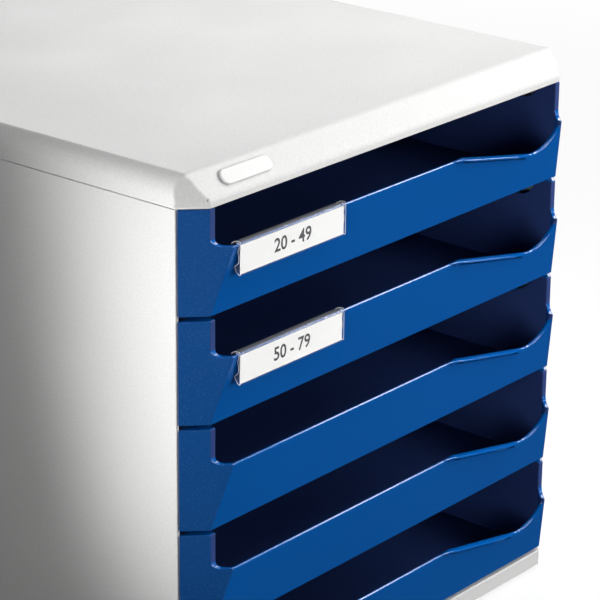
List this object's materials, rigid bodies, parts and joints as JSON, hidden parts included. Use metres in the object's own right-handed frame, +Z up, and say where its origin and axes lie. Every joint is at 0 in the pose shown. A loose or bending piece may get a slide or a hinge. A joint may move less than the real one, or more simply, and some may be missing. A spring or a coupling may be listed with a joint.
{
  "type": "desktop drawer cabinet",
  "caption": "Desktop cabinet for paper: a moulded housing with a sloping front cover and sliding open-fronted drawers with leaning lips, finger scoops and clip-on label holders.",
  "frame": {"origin": "on the surface the cabinet stands on, under the middle of its overall box", "axes": "+X to the right seen from the front, +Y to the back, +Z up; the drawers pull out along -Y"},
  "size_m": [0.291, 0.352, 0.291],
  "materials": {
    "housing_plastic": "light grey, fine satin grain",
    "rack_plastic": "mid grey, satin",
    "drawer_plastic": "deep blue, glossy lip and fine-grained corner posts",
    "clear_plastic": "clear, polished",
    "card": "white card, matte",
    "badge_plastic": "off-white, satin, blank",
    "foot_rubber": "black, matte",
    "screw_steel": "zinc plated"
  },
  "bodies": {
    "cabinet": {"top_cover": "housing_plastic", "base": "housing_plastic", "left_side_panel": "housing_plastic", "right_side_panel": "housing_plastic", "back_panel": "housing_plastic", "left_runner_rack": "rack_plastic", "right_runner_rack": "rack_plastic", "badge": "badge_plastic", "front_left_foot": "foot_rubber", "front_right_foot": "foot_rubber", "rear_left_foot": "foot_rubber", "rear_right_foot": "foot_rubber", "base_screws": "screw_steel", "cover_screws": "screw_steel"},
    "drawer_1_body": {"drawer_1": "drawer_plastic"},
    "drawer_2_body": {"drawer_2": "drawer_plastic"},
    "drawer_3_body": {"drawer_3": "drawer_plastic"},
    "drawer_4_body": {"drawer_4": "drawer_plastic"},
    "drawer_5_body": {"drawer_5": "drawer_plastic"},
    "label_1_body": {"label_holder_1": "clear_plastic", "label_card_1": "card"},
    "label_2_body": {"label_holder_2": "clear_plastic", "label_card_2": "card"}
  },
  "joints": [
    {"name": "drawer_1_slide", "type": "slide", "parent": "cabinet", "child": "drawer_1_body", "axis": [0, -1, 0], "range_m": [0, 0.25]},
    {"name": "drawer_2_slide", "type": "slide", "parent": "cabinet", "child": "drawer_2_body", "axis": [0, -1, 0], "range_m": [0, 0.25]},
    {"name": "drawer_3_slide", "type": "slide", "parent": "cabinet", "child": "drawer_3_body", "axis": [0, -1, 0], "range_m": [0, 0.25]},
    {"name": "drawer_4_slide", "type": "slide", "parent": "cabinet", "child": "drawer_4_body", "axis": [0, -1, 0], "range_m": [0, 0.25]},
    {"name": "drawer_5_slide", "type": "slide", "parent": "cabinet", "child": "drawer_5_body", "axis": [0, -1, 0], "range_m": [0, 0.25]},
    {"name": "label_1_slide", "type": "slide", "parent": "drawer_1_body", "child": "label_1_body", "axis": [1, 0, 0], "range_m": [0, 0.08]},
    {"name": "label_2_slide", "type": "slide", "parent": "drawer_2_body", "child": "label_2_body", "axis": [1, 0, 0], "range_m": [0, 0.08]}
  ]
}
